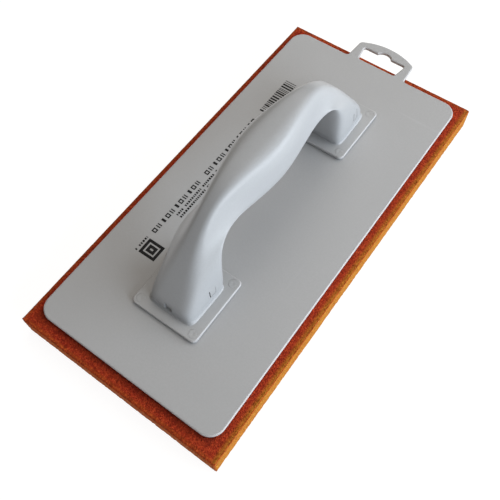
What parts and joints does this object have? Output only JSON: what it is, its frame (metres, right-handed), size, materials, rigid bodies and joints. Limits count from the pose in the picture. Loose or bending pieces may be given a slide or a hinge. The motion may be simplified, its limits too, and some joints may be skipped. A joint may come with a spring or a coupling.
{
  "type": "sponge float",
  "caption": "Rectangular sponge float: orange cellular-rubber pad on a flat grey plastic plate with a hang tab, and a pale bridge handle clipped onto square feet.",
  "frame": {"origin": "centre of the pad's flat working face, which the float rests on", "axes": "+Z out of the working face's back, towards the handle; +Y along the long side, towards the hang tab; +X to the right"},
  "size_m": [0.138, 0.2961, 0.0864],
  "materials": {
    "cellular_rubber": "open-pored orange cellular rubber, dry and matt",
    "contact_adhesive": "thin dried film of contact adhesive",
    "grey_plastic": "mid grey plastic sheet, fine satin surface",
    "foot_plastic": "light grey moulded plastic, satin",
    "pale_plastic": "pale bluish grey moulded plastic, soft satin gloss"
  },
  "bodies": {
    "root": {"sponge_pad": "cellular_rubber", "adhesive_film": "contact_adhesive", "backing_plate": "grey_plastic", "front_foot": "foot_plastic", "rear_foot": "foot_plastic", "front_rivet_1": "foot_plastic", "front_rivet_2": "foot_plastic", "front_rivet_3": "foot_plastic", "front_rivet_4": "foot_plastic", "rear_rivet_1": "foot_plastic", "rear_rivet_2": "foot_plastic", "rear_rivet_3": "foot_plastic", "rear_rivet_4": "foot_plastic", "handle": "pale_plastic"}
  },
  "joints": []
}
